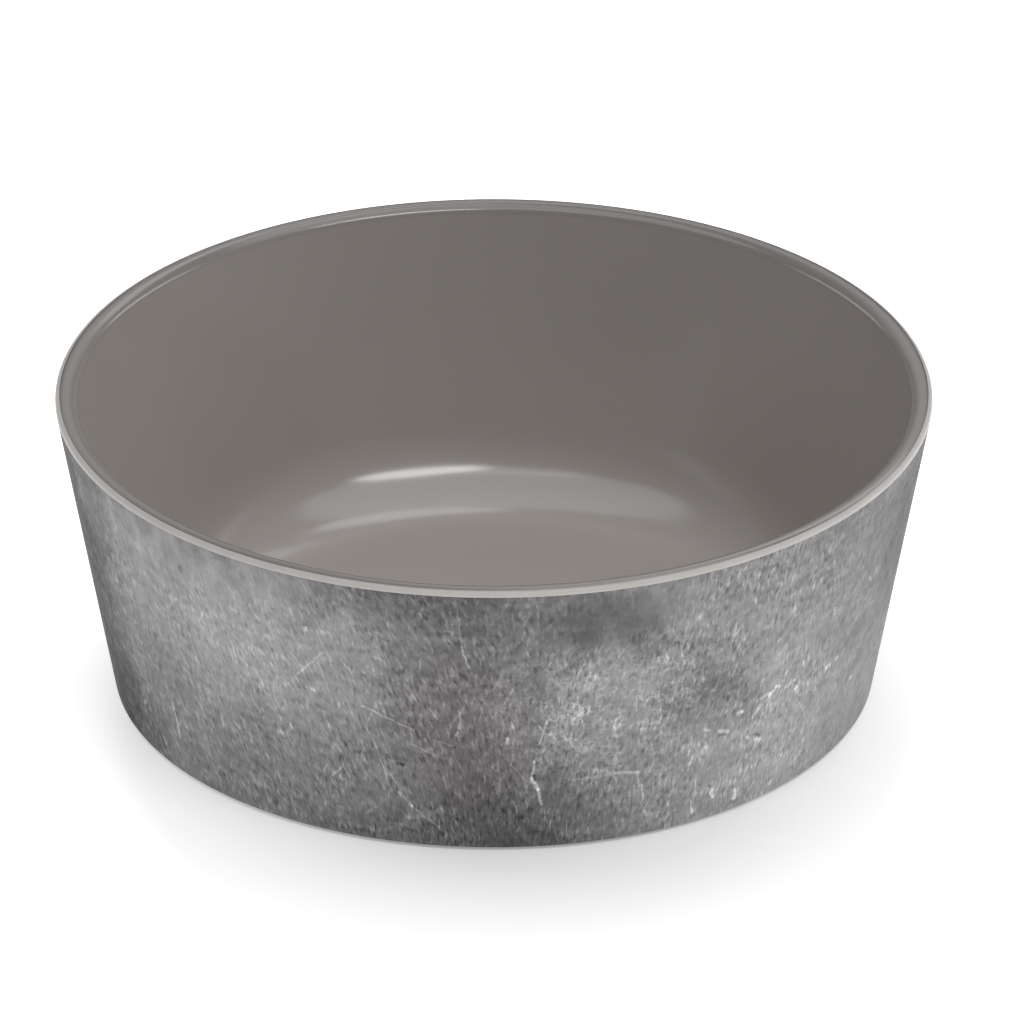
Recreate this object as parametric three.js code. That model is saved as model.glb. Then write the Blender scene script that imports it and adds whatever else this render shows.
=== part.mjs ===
// Round double-walled pet bowl: a glossy inner liner, a light outer shell, a printed foil round
// the wall, and a soft ring in a groove under the base.
// Millimetres, +Z up. The origin is on the axis, at the level that the bowl stands on.
import * as THREE from "three";
import { mergeGeometries } from "three/addons/utils/BufferGeometryUtils.js";

// Overall sizes
const RIM_RADIUS = 100; // outer corner of the rim, before rounding
const BASE_RADIUS = 87; // outer corner of the foot, before rounding
const SHELL_HEIGHT = 71.4; // foot to rim top

// Layers, measured square to the outer wall or the floor
const FOIL_THICKNESS = 0.3;
const SHELL_BACKING = 0.8; // shell behind the foil
const LINER_WALL = 2.8; // at the rim
const LINER_FLOOR = 2.2;
const BOND_GAP = 0.3; // between one layer and the next, where they are bonded
const LINER_TAPER = 11.4; // how far the liner's wall draws in from the shell's line, at the floor

// Rounded corners
const RIM_OUTER_ROUND = 1;
const RIM_INNER_ROUND = 2.5;
const BASE_EDGE_ROUND = 0.8;
const FLOOR_FILLET = 24; // inside the liner, between floor and wall
const SHELL_FILLET = 8; // inside the shell, between floor and wall

// Foil on the outer wall
const BARE_EDGE = 0.2; // straight strip of shell between the rim's rounding and the foil's seat
const BARE_FOOT = 0.1; // straight strip of shell between the base's rounding and the foil's seat
const SEAM_GAP = 0.4; // butt seam of the foil, at the back

// Ring under the base and the groove that holds it
const RING_WIDTH = 4.4;
const RING_PROUD = 0.6; // ring standing below the foot
const RING_EDGE_ROUND = 0.4;
const RING_CLEARANCE = 0.3; // on each side of the ring and above it
const GROOVE_DEPTH = 1.7;
const GROOVE_ROOF = 1.1; // shell floor above the groove
const OUTER_LAND = 4.2; // foot between the groove and the outer wall
const INNER_LAND = 3.0; // foot between the groove and the centre recess
const RECESS_DEPTH = 0.7; // centre of the underside, above the foot
const RECESS_SLOPE = 0.5; // width of the recess's sloping edge

// Steps of the round shapes
const SEGMENTS = 96; // round the axis
const FILLET_STEPS = 6;
const ROUND_STEPS = 3;

// Finishes
const TAUPE_GLOSS = { color: 0x77716b, roughness: 0.28 };
const LIGHT_GREY = { color: 0xc2beba, roughness: 0.35 };
const PEWTER_PRINT = { color: 0x84827f, roughness: 0.5 };
const DARK_SILICONE = { color: 0x3a3a3c, roughness: 0.8 };

// The wall leans outward by this angle from the vertical.
const LEAN = Math.atan2(RIM_RADIUS - BASE_RADIUS, SHELL_HEIGHT);

// Heights
const FOOT_Z = RING_PROUD;
const RIM_Z = FOOT_Z + SHELL_HEIGHT;
const GROOVE_Z = FOOT_Z + GROOVE_DEPTH;
const SHELL_FLOOR_Z = GROOVE_Z + GROOVE_ROOF;
const LINER_UNDER_Z = SHELL_FLOOR_Z + BOND_GAP;
const LINER_FLOOR_Z = LINER_UNDER_Z + LINER_FLOOR;
const SEAT_LOW_Z = FOOT_Z + BASE_EDGE_ROUND * (1 - Math.sin(LEAN)) + BARE_FOOT;
const SEAT_HIGH_Z = RIM_Z - RIM_OUTER_ROUND * (1 + Math.sin(LEAN)) - BARE_EDGE;
const FOIL_LOW_Z = SEAT_LOW_Z + BOND_GAP;
const FOIL_HIGH_Z = SEAT_HIGH_Z - BOND_GAP;

// Depths of the layers below the outer surface, square to the wall
const FOIL_SEAT = FOIL_THICKNESS + BOND_GAP;
const SHELL_INSIDE = FOIL_SEAT + SHELL_BACKING;
const LINER_OUTSIDE = SHELL_INSIDE + BOND_GAP;
const LINER_INSIDE = LINER_OUTSIDE + LINER_WALL;

// Inner face of the liner, which leans further out than the outer wall does
const INNER_FLOOR_RADIUS = onWall(LINER_FLOOR_Z, LINER_INSIDE).x - LINER_TAPER;
const INNER_RISE = RIM_Z - LINER_FLOOR_Z;
const INNER_LEAN = Math.atan2(onWall(RIM_Z, LINER_INSIDE).x - INNER_FLOOR_RADIUS, INNER_RISE);
const LINER_BACK = (LINER_WALL * Math.cos(INNER_LEAN)) / Math.cos(LEAN); // square to its own face

// Radii on the underside
const GROOVE_OUTER = BASE_RADIUS - OUTER_LAND;
const GROOVE_INNER = GROOVE_OUTER - RING_WIDTH - 2 * RING_CLEARANCE;
const RECESS_RADIUS = GROOVE_INNER - INNER_LAND;

// Point at height z on the surface that lies depth below the outer wall.
function onWall(z, depth) {
  const outer = BASE_RADIUS + (z - FOOT_Z) * Math.tan(LEAN);
  return new THREE.Vector2(outer - depth / Math.cos(LEAN), z);
}

// Point at height z on the surface that lies behind the liner's inner face by an offset.
function onLiner(z, offset) {
  const inner = INNER_FLOOR_RADIUS + (z - LINER_FLOOR_Z) * Math.tan(INNER_LEAN);
  return new THREE.Vector2(inner + offset / Math.cos(INNER_LEAN), z);
}

// Points of a circular arc in the profile plane, both ends included.
function arc(centre, radius, from, to, steps) {
  const points = [];
  for (let i = 0; i <= steps; i += 1) {
    const angle = from + ((to - from) * i) / steps;
    const offset = new THREE.Vector2(Math.cos(angle), Math.sin(angle));
    points.push(offset.multiplyScalar(radius).add(centre));
  }
  return points;
}

// Fillet of the liner between a floor and the surface at offset, from the floor outward and up.
function linerFillet(floorZ, offset) {
  const radius = FLOOR_FILLET + offset;
  const centre = onLiner(floorZ + radius, offset - radius);
  return arc(centre, radius, -Math.PI / 2, -INNER_LEAN, FILLET_STEPS);
}

// Fillet inside the shell, from its floor outward and up.
function shellFillet() {
  const centre = onWall(SHELL_FLOOR_Z + SHELL_FILLET, SHELL_INSIDE + SHELL_FILLET);
  return arc(centre, SHELL_FILLET, -Math.PI / 2, -LEAN, FILLET_STEPS);
}

// Rounded outer corner at the foot, from the foot outward and up.
function baseCorner() {
  const centre = onWall(FOOT_Z + BASE_EDGE_ROUND, BASE_EDGE_ROUND);
  return arc(centre, BASE_EDGE_ROUND, -Math.PI / 2, -LEAN, ROUND_STEPS);
}

// Rounded outer corner at the rim top, from the wall inward.
function rimOuterCorner() {
  const centre = onWall(RIM_Z - RIM_OUTER_ROUND, RIM_OUTER_ROUND);
  return arc(centre, RIM_OUTER_ROUND, -LEAN, Math.PI / 2, ROUND_STEPS);
}

// Rounded inner corner at the rim top, from the top inward and down.
function rimInnerCorner() {
  const centre = onLiner(RIM_Z - RIM_INNER_ROUND, RIM_INNER_ROUND);
  return arc(centre, RIM_INNER_ROUND, Math.PI / 2, Math.PI - INNER_LEAN, ROUND_STEPS);
}

// Solid of revolution about the +Z axis.
function revolve(profile, start = 0, sweep = 2 * Math.PI) {
  return new THREE.LatheGeometry(profile, SEGMENTS, start, sweep).rotateX(Math.PI / 2);
}

// Flat end of a partly revolved solid, at an angle round the axis. It faces back along the
// sweep, or forward when its triangles are turned over.
function endCap(profile, angle, facesForward) {
  const cap = new THREE.ShapeGeometry(new THREE.Shape(profile));
  if (facesForward) {
    cap.index.array.reverse();
  }
  return cap.rotateY(angle - Math.PI / 2).rotateX(Math.PI / 2);
}

function part(name, geometry, finish) {
  const mesh = new THREE.Mesh(geometry, new THREE.MeshStandardMaterial({ ...finish, metalness: 0 }));
  mesh.name = name;
  return mesh;
}

// Inner liner: floor, wall and the inner part of the rim.
function innerLiner() {
  const profile = [
    new THREE.Vector2(0, LINER_UNDER_Z),
    ...linerFillet(LINER_UNDER_Z, LINER_BACK),
    onLiner(RIM_Z, LINER_BACK),
    ...rimInnerCorner(),
    ...linerFillet(LINER_FLOOR_Z, 0).reverse(),
    new THREE.Vector2(0, LINER_FLOOR_Z),
  ];
  return part("inner_liner", revolve(profile), TAUPE_GLOSS);
}

// Outer shell: bare rim edge, seat for the foil, foot with its groove, and floor.
function outerShell() {
  const profile = [
    new THREE.Vector2(0, FOOT_Z + RECESS_DEPTH),
    new THREE.Vector2(RECESS_RADIUS - RECESS_SLOPE, FOOT_Z + RECESS_DEPTH),
    new THREE.Vector2(RECESS_RADIUS, FOOT_Z),
    new THREE.Vector2(GROOVE_INNER, FOOT_Z),
    new THREE.Vector2(GROOVE_INNER, GROOVE_Z),
    new THREE.Vector2(GROOVE_OUTER, GROOVE_Z),
    new THREE.Vector2(GROOVE_OUTER, FOOT_Z),
    ...baseCorner(),
    onWall(SEAT_LOW_Z, 0),
    onWall(SEAT_LOW_Z, FOIL_SEAT),
    onWall(SEAT_HIGH_Z, FOIL_SEAT),
    onWall(SEAT_HIGH_Z, 0),
    ...rimOuterCorner(),
    onWall(RIM_Z, SHELL_INSIDE),
    ...shellFillet().reverse(),
    new THREE.Vector2(0, SHELL_FLOOR_Z),
  ];
  return part("outer_shell", revolve(profile), LIGHT_GREY);
}

// Printed foil: a thin band round the wall, open at its seam.
function pewterFoil() {
  const outline = [
    onWall(FOIL_LOW_Z, FOIL_THICKNESS),
    onWall(FOIL_LOW_Z, 0),
    onWall(FOIL_HIGH_Z, 0),
    onWall(FOIL_HIGH_Z, FOIL_THICKNESS),
  ];
  const halfSeam = SEAM_GAP / 2 / RIM_RADIUS;
  const start = Math.PI + halfSeam;
  const sweep = 2 * (Math.PI - halfSeam);
  const geometry = mergeGeometries([
    revolve([...outline, outline[0]], start, sweep),
    endCap(outline, start, false),
    endCap(outline, start + sweep, true),
  ]);
  return part("pewter_foil", geometry, PEWTER_PRINT);
}

// Soft ring: fills the groove and stands below the foot, with rounded lower edges.
function nonSlipRing() {
  const inner = GROOVE_INNER + RING_CLEARANCE;
  const outer = GROOVE_OUTER - RING_CLEARANCE;
  const top = GROOVE_Z - RING_CLEARANCE;
  const innerCentre = new THREE.Vector2(inner + RING_EDGE_ROUND, RING_EDGE_ROUND);
  const outerCentre = new THREE.Vector2(outer - RING_EDGE_ROUND, RING_EDGE_ROUND);
  const outline = [
    ...arc(innerCentre, RING_EDGE_ROUND, -Math.PI, -Math.PI / 2, ROUND_STEPS),
    ...arc(outerCentre, RING_EDGE_ROUND, -Math.PI / 2, 0, ROUND_STEPS),
    new THREE.Vector2(outer, top),
    new THREE.Vector2(inner, top),
  ];
  return part("non_slip_ring", revolve([...outline, outline[0]]), DARK_SILICONE);
}

const bowl = new THREE.Group();
bowl.name = "pet_bowl";
bowl.add(innerLiner(), outerShell(), pewterFoil(), nonSlipRing());

export default bowl;
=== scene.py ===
"""Studio scene of a round pet bowl with a pewter-look print. Metres, +Z up, front towards -Y."""
import math

import bmesh
import bpy
from mathutils import Matrix, Vector


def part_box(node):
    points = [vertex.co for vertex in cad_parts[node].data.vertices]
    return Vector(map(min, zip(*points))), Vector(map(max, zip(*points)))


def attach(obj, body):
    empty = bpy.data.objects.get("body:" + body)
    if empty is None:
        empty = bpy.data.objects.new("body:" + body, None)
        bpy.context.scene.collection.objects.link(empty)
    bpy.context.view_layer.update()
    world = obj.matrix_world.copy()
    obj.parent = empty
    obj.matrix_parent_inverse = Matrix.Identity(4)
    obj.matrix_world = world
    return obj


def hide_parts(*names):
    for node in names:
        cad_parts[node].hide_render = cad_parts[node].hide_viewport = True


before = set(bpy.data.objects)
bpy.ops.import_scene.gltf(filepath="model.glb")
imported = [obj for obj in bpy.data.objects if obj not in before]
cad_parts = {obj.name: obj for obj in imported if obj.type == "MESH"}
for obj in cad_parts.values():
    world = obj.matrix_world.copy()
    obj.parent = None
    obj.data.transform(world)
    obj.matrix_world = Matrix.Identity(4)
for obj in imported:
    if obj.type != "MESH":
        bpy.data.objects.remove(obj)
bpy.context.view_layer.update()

MM = 0.001
PER_MM = 1 / MM

# Heights and radii that the frame gives
shell_low, shell_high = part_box("outer_shell")
liner_low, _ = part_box("inner_liner")
ring_low, ring_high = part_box("non_slip_ring")
FOOT_Z = shell_low.z
RIM_Z = shell_high.z
LINER_UNDER_Z = liner_low.z
RING_OUTER = ring_high.x
RING_TOP = ring_high.z

# Rounded corners
RIM_OUTER_ROUND = 1.0 * MM
RIM_CROWN_ROUND = 2.7 * MM  # top of the liner, over to its inner face
EDGE_DROP = 0.2 * MM  # shell's edge below the liner's crown
BASE_EDGE_ROUND = 0.8 * MM
FLOOR_FILLET = 18.8 * MM  # from the corner of floor and wall to either end of the rounding
SHELL_FILLET = 8 * MM
JOINT_ROUND = 0.1 * MM  # shell's edge at the joint on the rim, and the lips of the groove
FOIL_EDGE_ROUND = 0.1 * MM

# Outer wall
FLARE = 13 * MM  # how much wider the rim's radius is than the foot's
LEAN = math.atan2(FLARE, RIM_Z - FOOT_Z)
RIM_RADIUS = shell_high.x + RIM_OUTER_ROUND * (1 / math.cos(LEAN) + math.tan(LEAN) - 1)
BASE_RADIUS = RIM_RADIUS - FLARE

# Layers, as depths below the outer wall, square to it
FOIL_THICKNESS = 0.3 * MM
SHELL_DEPTH = 1.1 * MM  # joint between shell and liner
LINER_DEPTH = 4.5 * MM  # inner face of the liner, at the rim
LINER_FLOOR = 2.2 * MM
LINER_WALL = 2.3 * MM
LINER_TAPER = 11.4 * MM  # how far the liner draws in from the outer wall's line, at its floor
HAIRLINE = 0.06 * MM  # gap drawn between two layers
JOINT_HEIGHT = 2.5 * MM  # reach of the joint down from the rim
LINER_FLOOR_Z = LINER_UNDER_Z + LINER_FLOOR
INNER_LEAN = math.atan(math.tan(LEAN) + LINER_TAPER / (RIM_Z - LINER_FLOOR_Z))

# Print on the wall
BARE_EDGE = 0.1 * MM  # straight strip of shell between the rim's rounding and the print
EDGE_Z = RIM_Z - EDGE_DROP
FOIL_TOP_Z = EDGE_Z - RIM_OUTER_ROUND * (1 + math.sin(LEAN)) - BARE_EDGE
SEAM_GAP = 0.15 * MM  # butt seam of the foil, at the back
CHART_RADIUS = 0.5 * (RIM_RADIUS + BASE_RADIUS)  # at which the print's chart is unrolled

# Foot, groove and recess
GROOVE_CLEARANCE = 0.3 * MM
RING_WIDTH = 4.4 * MM
INNER_LAND = 3.0 * MM
RECESS_DEPTH = 0.7 * MM
RECESS_ROUND = 0.45 * MM
RING_ROUND = 0.4 * MM

# Steps of the round shapes
TURN_STEPS = 192
FILLET_STEPS = 24
ROUND_STEPS = 8
SHARP_ANGLE = math.radians(40)
MERGE_DISTANCE = 1e-7

# Camera: a long lens, with the aim point where the photograph has it
IMAGE_SIZE = 1024
SENSOR = 36.0
FOCAL_PIXELS = 13000
CAMERA_DISTANCE = 2.971
CAMERA_ELEVATION = math.radians(27.38)
AIM = Vector((0, 0, 0.0363))
AIM_PIXEL_X = 493.9
AIM_PIXEL_Y = 528.05

# Light
AMBIENT_LOW = 0.17  # at the horizon
AMBIENT_HIGH = 0.42  # overhead
AMBIENT_BACK = 0.6  # how much brighter the surroundings are behind the bowl, and dimmer in front
AMBIENT_RIGHT = 0.35  # how much brighter they are on the right, and dimmer on the left
BACKDROP_START = 0.4  # the white backdrop stands behind the bowl; the room in front of it is dim
BACKDROP_FULL = 0.9
BACKDROP_LOW = 0.2  # it is dim near the horizon
BACKDROP_HIGH = 0.52
LAMPS = (
    # name, direction from the bowl, distance, width, height, turn of the width from X, brightness
    ("top_softbox", (0.0, -0.12, 1.0), 1.5, 3.2, 1.4, 0, 1.25),
    ("key_strip", (0.44, -0.645, 1.0), 1.6, 1.12, 0.24, 13, 9.0),
    ("front_strip", (-0.15, -0.63, 1.0), 1.6, 1.15, 0.25, -8, 1.5),
    ("back_strip", (0.22, 0.4, 1.0), 1.6, 0.76, 0.3, 0, 2.6),
    ("back_softbox", (0.4, 1.0, 1.0), 1.6, 1.15, 0.5, 0, 1.5),
    ("right_strip", (0.91, 0.33, 0.25), 1.3, 0.95, 0.28, 90, 2.4),
    ("left_strip", (-0.91, 0.33, 0.25), 1.3, 0.95, 0.28, 90, 2.0),
)

# Floor
FLOOR_RADIUS = 12.0
FLOOR_HOLE = 70 * MM  # under the bowl, inside the ring, so that light reaches the underside
FLOOR_WHITE = 0.9  # for the light that the floor throws back on the bowl
FLOOR_SEEN = 0.65  # for the shadow that shows on it
FLOOR_LIFT = 0.274  # brightness that shows beside the diffuse light, near the bowl
LIFT_CENTRE = Vector((14, -57, 0)) * MM
LIFT_NEAR = 40 * MM
LIFT_FAR = 240 * MM
SIDE_LIFT = 0.14  # more of it beyond both sides of the bowl
SIDE_LIFT_CENTRE = Vector((6, -15, 0)) * MM
SIDE_LIFT_SHAPE = (1.0, 0.6, 0.0)  # makes its outline an oval that reaches further to the front
SIDE_LIFT_START = 86 * MM
SIDE_LIFT_FULL = 100 * MM

# Colours of the moulded pieces
TAUPE = (0.28, 0.258, 0.2415, 1)
PALE_GREY = (0.63, 0.602, 0.574, 1)
SILICONE_GREY = (0.042, 0.042, 0.045, 1)
MELAMINE_IOR = 1.6

# Painted shade on the liner's rim: its colour is darker than the rest of the liner over its upper part
RIM_PAINTED_SHADE = 0.52
RIM_PAINTED_SHADE_DROP = 2.4 * MM

# Painted shade on the bare edge of the shell: its colour is darker over its upper part, towards the joint
EDGE_PAINTED_SHADE = 0.56
EDGE_PAINTED_SHADE_DROP = 1.2 * MM


# Outlines in the profile plane, as (radius, height) points

def on_wall(z, depth):
    """Point at height z on the surface that lies depth below the outer wall."""
    return Vector((BASE_RADIUS + (z - FOOT_Z) * math.tan(LEAN) - depth / math.cos(LEAN), z))


def arc(centre, radius, start, end, steps):
    """Points of a circular arc, both ends included."""
    angles = [start + (end - start) * i / steps for i in range(steps + 1)]
    return [centre + radius * Vector((math.cos(a), math.sin(a))) for a in angles]


def in_bowl(z, inset):
    """Point at height z on the surface that lies inset within the liner's inner face."""
    top = on_wall(RIM_Z, LINER_DEPTH)
    return Vector((top.x - (RIM_Z - z) * math.tan(INNER_LEAN) - inset / math.cos(INNER_LEAN), z))


def floor_fillet(floor_z, inset, reach):
    """Rounding between a floor and the liner surface at inset, from the floor outward and up.

    It bends most in its middle and eases into the floor and the wall.
    """
    corner = in_bowl(floor_z, inset)
    start = corner - Vector((reach, 0))
    end = corner + reach * Vector((math.sin(INNER_LEAN), math.cos(INNER_LEAN)))
    shares = [i / FILLET_STEPS for i in range(FILLET_STEPS + 1)]
    return [start * (1 - s) ** 2 + corner * 2 * s * (1 - s) + end * s ** 2 for s in shares]


def base_corner(depth):
    """Rounded corner at the foot, depth below the outer surface, from the foot outward and up."""
    centre = on_wall(FOOT_Z + BASE_EDGE_ROUND, BASE_EDGE_ROUND)
    return arc(centre, BASE_EDGE_ROUND - depth, -math.pi / 2, -LEAN, ROUND_STEPS)


def edge_corner(depth, radius, start, end):
    """Rounded corner at the top of the shell's edge, with its centre at depth below the outer wall."""
    return arc(on_wall(EDGE_Z - radius, depth), radius, start, end, ROUND_STEPS)


def revolve(name, outline, gap=0.0):
    """Closed object made by turning an outline about +Z. A gap leaves a slit open at the back."""
    shape = bmesh.new()
    half_slit = gap / 2 / RIM_RADIUS
    first = math.pi / 2 + half_slit
    points = [shape.verts.new((p.x * math.cos(first), p.x * math.sin(first), p.y)) for p in outline]
    edges = [shape.edges.new(pair) for pair in zip(points, points[1:])]
    if outline[0].x > 0:
        edges.append(shape.edges.new((points[-1], points[0])))
    bmesh.ops.spin(shape, geom=points + edges, axis=(0, 0, 1), cent=(0, 0, 0), steps=TURN_STEPS,
                   angle=2 * (math.pi - half_slit), use_merge=gap == 0)
    bmesh.ops.remove_doubles(shape, verts=shape.verts, dist=MERGE_DISTANCE)
    if gap:
        bmesh.ops.holes_fill(shape, edges=[e for e in shape.edges if e.is_boundary], sides=0)
    bmesh.ops.recalc_face_normals(shape, faces=shape.faces)
    return finish_mesh(name, shape)


def finish_mesh(name, shape):
    """Object from a bmesh, smooth apart from its sharp edges, with flat faces kept flat."""
    mesh = bpy.data.meshes.new(name)
    shape.to_mesh(mesh)
    shape.free()
    mesh.shade_smooth()
    mesh.set_sharp_from_angle(angle=SHARP_ANGLE)
    piece = bpy.data.objects.new(name, mesh)
    bpy.context.scene.collection.objects.link(piece)
    weighting = piece.modifiers.new("flat_faces", "WEIGHTED_NORMAL")
    weighting.keep_sharp = True
    return piece


# Shader node helpers

SOCKETS = {"value": "NodeSocketFloat", "vector": "NodeSocketVector", "colour": "NodeSocketColor"}


def feed(tree, socket, value):
    """Links a socket to another one, or sets it to a plain value."""
    if isinstance(value, bpy.types.NodeSocket):
        tree.links.new(value, socket)
    else:
        socket.default_value = value


def place(tree, kind, inputs=None, **settings):
    """Adds a node with its settings, and feeds its inputs."""
    node = tree.nodes.new("ShaderNode" + kind)
    for name, value in settings.items():
        setattr(node, name, value)
    for name, value in (inputs or {}).items():
        feed(tree, node.inputs[name], value)
    return node


def calc(tree, operation, *values):
    node = place(tree, "Math", operation=operation)
    for socket, value in zip(node.inputs, values):
        feed(tree, socket, value)
    return node.outputs[0]


def vector_calc(tree, operation, first, second):
    node = place(tree, "VectorMath", {0: first, 1: second}, operation=operation)
    return node.outputs["Vector"]


def dot(tree, first, second):
    return place(tree, "VectorMath", {0: first, 1: second}, operation="DOT_PRODUCT").outputs["Value"]


def scaled(tree, vector, factor):
    node = place(tree, "VectorMath", {"Vector": vector, "Scale": factor}, operation="SCALE")
    return node.outputs["Vector"]


def remap(tree, value, low, high, to_low=0.0, to_high=1.0):
    """Smooth step of a value from one range to another, held at both ends."""
    inputs = {"Value": value, "From Min": low, "From Max": high, "To Min": to_low, "To Max": to_high}
    return place(tree, "MapRange", inputs, interpolation_type="SMOOTHSTEP").outputs["Result"]


def noise(tree, vector, scale, detail=2.0, roughness=0.5):
    inputs = {"Vector": vector, "Scale": scale, "Detail": detail, "Roughness": roughness}
    return place(tree, "TexNoise", inputs).outputs[0]


def swing(tree, value, amount):
    """A value from 0 to 1 as a shift of at most half the amount to either side."""
    return calc(tree, "MULTIPLY", calc(tree, "SUBTRACT", value, 0.5), amount)


def blend(tree, factor, first, second, kind="MIX"):
    """Mix of two colours."""
    node = place(tree, "Mix", data_type="RGBA", blend_type=kind)
    for index, value in ((0, factor), (6, first), (7, second)):
        feed(tree, node.inputs[index], value)
    return node.outputs[2]


def total(tree, values):
    """Sum of several values."""
    result = values[0]
    for value in values[1:]:
        result = calc(tree, "ADD", result, value)
    return result


def new_group(name, takes, gives):
    """Starts a shader node group. Returns its tree and its inner sockets by name."""
    tree = bpy.data.node_groups.new(name, "ShaderNodeTree")
    for label, kind in takes:
        tree.interface.new_socket(label, in_out="INPUT", socket_type=SOCKETS[kind])
    for label, kind in gives:
        tree.interface.new_socket(label, in_out="OUTPUT", socket_type=SOCKETS[kind])
    entry = tree.nodes.new("NodeGroupInput")
    end = tree.nodes.new("NodeGroupOutput")
    return tree, entry.outputs, end.inputs


def use(tree, group, **inputs):
    """Places a node group, with its inputs given by name, and returns its outputs."""
    node = tree.nodes.new("ShaderNodeGroup")
    node.node_tree = group
    for name, value in inputs.items():
        feed(tree, node.inputs[name], value)
    return node.outputs


def new_material(name):
    """Material with a Principled BSDF. Returns the material, its tree and the shader's inputs."""
    material = bpy.data.materials.new(name)
    material.use_nodes = True
    tree = material.node_tree
    return material, tree, tree.nodes["Principled BSDF"].inputs


def add_bump(tree, shader, height, strength, distance):
    bump = place(tree, "Bump", {"Height": height, "Strength": strength, "Distance": distance})
    feed(tree, shader["Normal"], bump.outputs["Normal"])


# Node groups

# One scratch
SHORTEST_SCRATCH = 0.45  # as a share of the longest
SCRATCH_BOW = 0.08  # as a share of its length
SCRATCH_CORE = 0.3  # in half widths from its line: full strength up to here
SCRATCH_FADE = 1.4  # and none from here on
NARROWEST = 0.0001  # half width at its tips, in millimetres
OTHER_DICE = (7.0, 13.0, 31.0)  # from a cell to the one that gives its second throw

# One mark, in half widths from its line
MARK_CORE = 0.2
MARK_FADE = 1.5

RUB_PER_MM = 0.35  # spots of uneven gloss on a moulded piece


def make_wall_chart():
    """Flat chart of a round wall: millimetres along it from the front, and up from the stand."""
    tree, _, gives = new_group("wall_chart", [], [("Chart", "vector")])
    position = place(tree, "TexCoord").outputs["Object"]
    split = place(tree, "SeparateXYZ", {0: position}).outputs
    turn = calc(tree, "ARCTAN2", split["X"], calc(tree, "MULTIPLY", split["Y"], -1))
    along = calc(tree, "MULTIPLY", turn, CHART_RADIUS * PER_MM)
    up = calc(tree, "MULTIPLY", split["Z"], PER_MM)
    chart = place(tree, "CombineXYZ", {"X": along, "Y": up})
    feed(tree, gives["Chart"], chart.outputs[0])
    return tree


def make_scratches():
    """Scattered fine strokes, at most one in each square cell of the chart, tapered at both ends.

    Cell, Length and Width are in millimetres. Lean and Spread are the strokes' mean angle from
    the upright and how far they stray from it. Share is the share of cells that hold a stroke.
    """
    names = ("Cell", "Length", "Width", "Lean", "Spread", "Share", "Seed")
    takes = [("Chart", "vector")] + [(name, "value") for name in names]
    tree, given, gives = new_group("scratches", takes, [("Mask", "value")])
    seed = place(tree, "CombineXYZ", {"X": given["Seed"], "Y": given["Seed"], "Z": given["Seed"]})
    per_cell = calc(tree, "DIVIDE", 1.0, given["Cell"])
    grid = vector_calc(tree, "ADD", scaled(tree, given["Chart"], per_cell), seed.outputs[0])
    cell = place(tree, "VectorMath", {0: grid}, operation="FLOOR").outputs["Vector"]
    inside = vector_calc(tree, "SUBTRACT", vector_calc(tree, "SUBTRACT", grid, cell), (0.5, 0.5, 0.0))
    dice = place(tree, "TexWhiteNoise", {"Vector": cell}, noise_dimensions="3D").outputs["Color"]
    other_cell = vector_calc(tree, "ADD", cell, OTHER_DICE)
    chance = place(tree, "TexWhiteNoise", {"Vector": other_cell}, noise_dimensions="3D").outputs["Color"]
    dice_split = place(tree, "SeparateXYZ", {0: dice}).outputs
    chance_split = place(tree, "SeparateXYZ", {0: chance}).outputs

    share = remap(tree, chance_split["Y"], 0.0, 1.0, SHORTEST_SCRATCH, 1.0)
    length = calc(tree, "MULTIPLY", given["Length"], share)
    room = calc(tree, "SUBTRACT", 1.0, calc(tree, "MULTIPLY", length, per_cell))
    shift = scaled(tree, vector_calc(tree, "SUBTRACT", dice, (0.5, 0.5, 0.5)), room)
    angle = calc(tree, "ADD", given["Lean"], swing(tree, dice_split["Z"], given["Spread"]))
    turned = place(tree, "VectorRotate", {"Vector": vector_calc(tree, "SUBTRACT", inside, shift),
                                          "Angle": angle}, rotation_type="Z_AXIS")
    stroke = scaled(tree, turned.outputs[0], given["Cell"])
    stroke_split = place(tree, "SeparateXYZ", {0: stroke}).outputs
    reach = calc(tree, "DIVIDE", calc(tree, "MULTIPLY", stroke_split["Y"], 2.0), length)
    reach_squared = calc(tree, "MULTIPLY", reach, reach)
    bend = swing(tree, chance_split["Z"], given["Length"])
    bow = calc(tree, "MULTIPLY", calc(tree, "MULTIPLY", bend, SCRATCH_BOW), reach_squared)
    across = calc(tree, "ABSOLUTE", calc(tree, "SUBTRACT", stroke_split["X"], bow))
    half = calc(tree, "MULTIPLY", calc(tree, "MULTIPLY", given["Width"], 0.5),
                calc(tree, "SUBTRACT", 1.0, reach_squared))
    ratio = calc(tree, "DIVIDE", across, calc(tree, "MAXIMUM", half, NARROWEST))
    line = remap(tree, ratio, SCRATCH_CORE, SCRATCH_FADE, 1.0, 0.0)
    kept = calc(tree, "LESS_THAN", chance_split["X"], given["Share"])
    on_length = calc(tree, "LESS_THAN", reach_squared, 1.0)
    feed(tree, gives["Mask"], calc(tree, "MULTIPLY", line, calc(tree, "MULTIPLY", kept, on_length)))
    return tree


def flat_length(tree, vector):
    """Length of a vector within the plane of the chart."""
    flat = vector_calc(tree, "MULTIPLY", vector, (1.0, 1.0, 0.0))
    return place(tree, "VectorMath", {0: flat}, operation="LENGTH").outputs["Value"]


def toned(tree, chart, share, strength):
    """Chart whose third number, the tone shift gathered so far, goes on by a share of the strength."""
    shift = place(tree, "CombineXYZ", {"Z": calc(tree, "MULTIPLY", share, strength)})
    return vector_calc(tree, "ADD", chart, shift.outputs[0])


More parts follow.
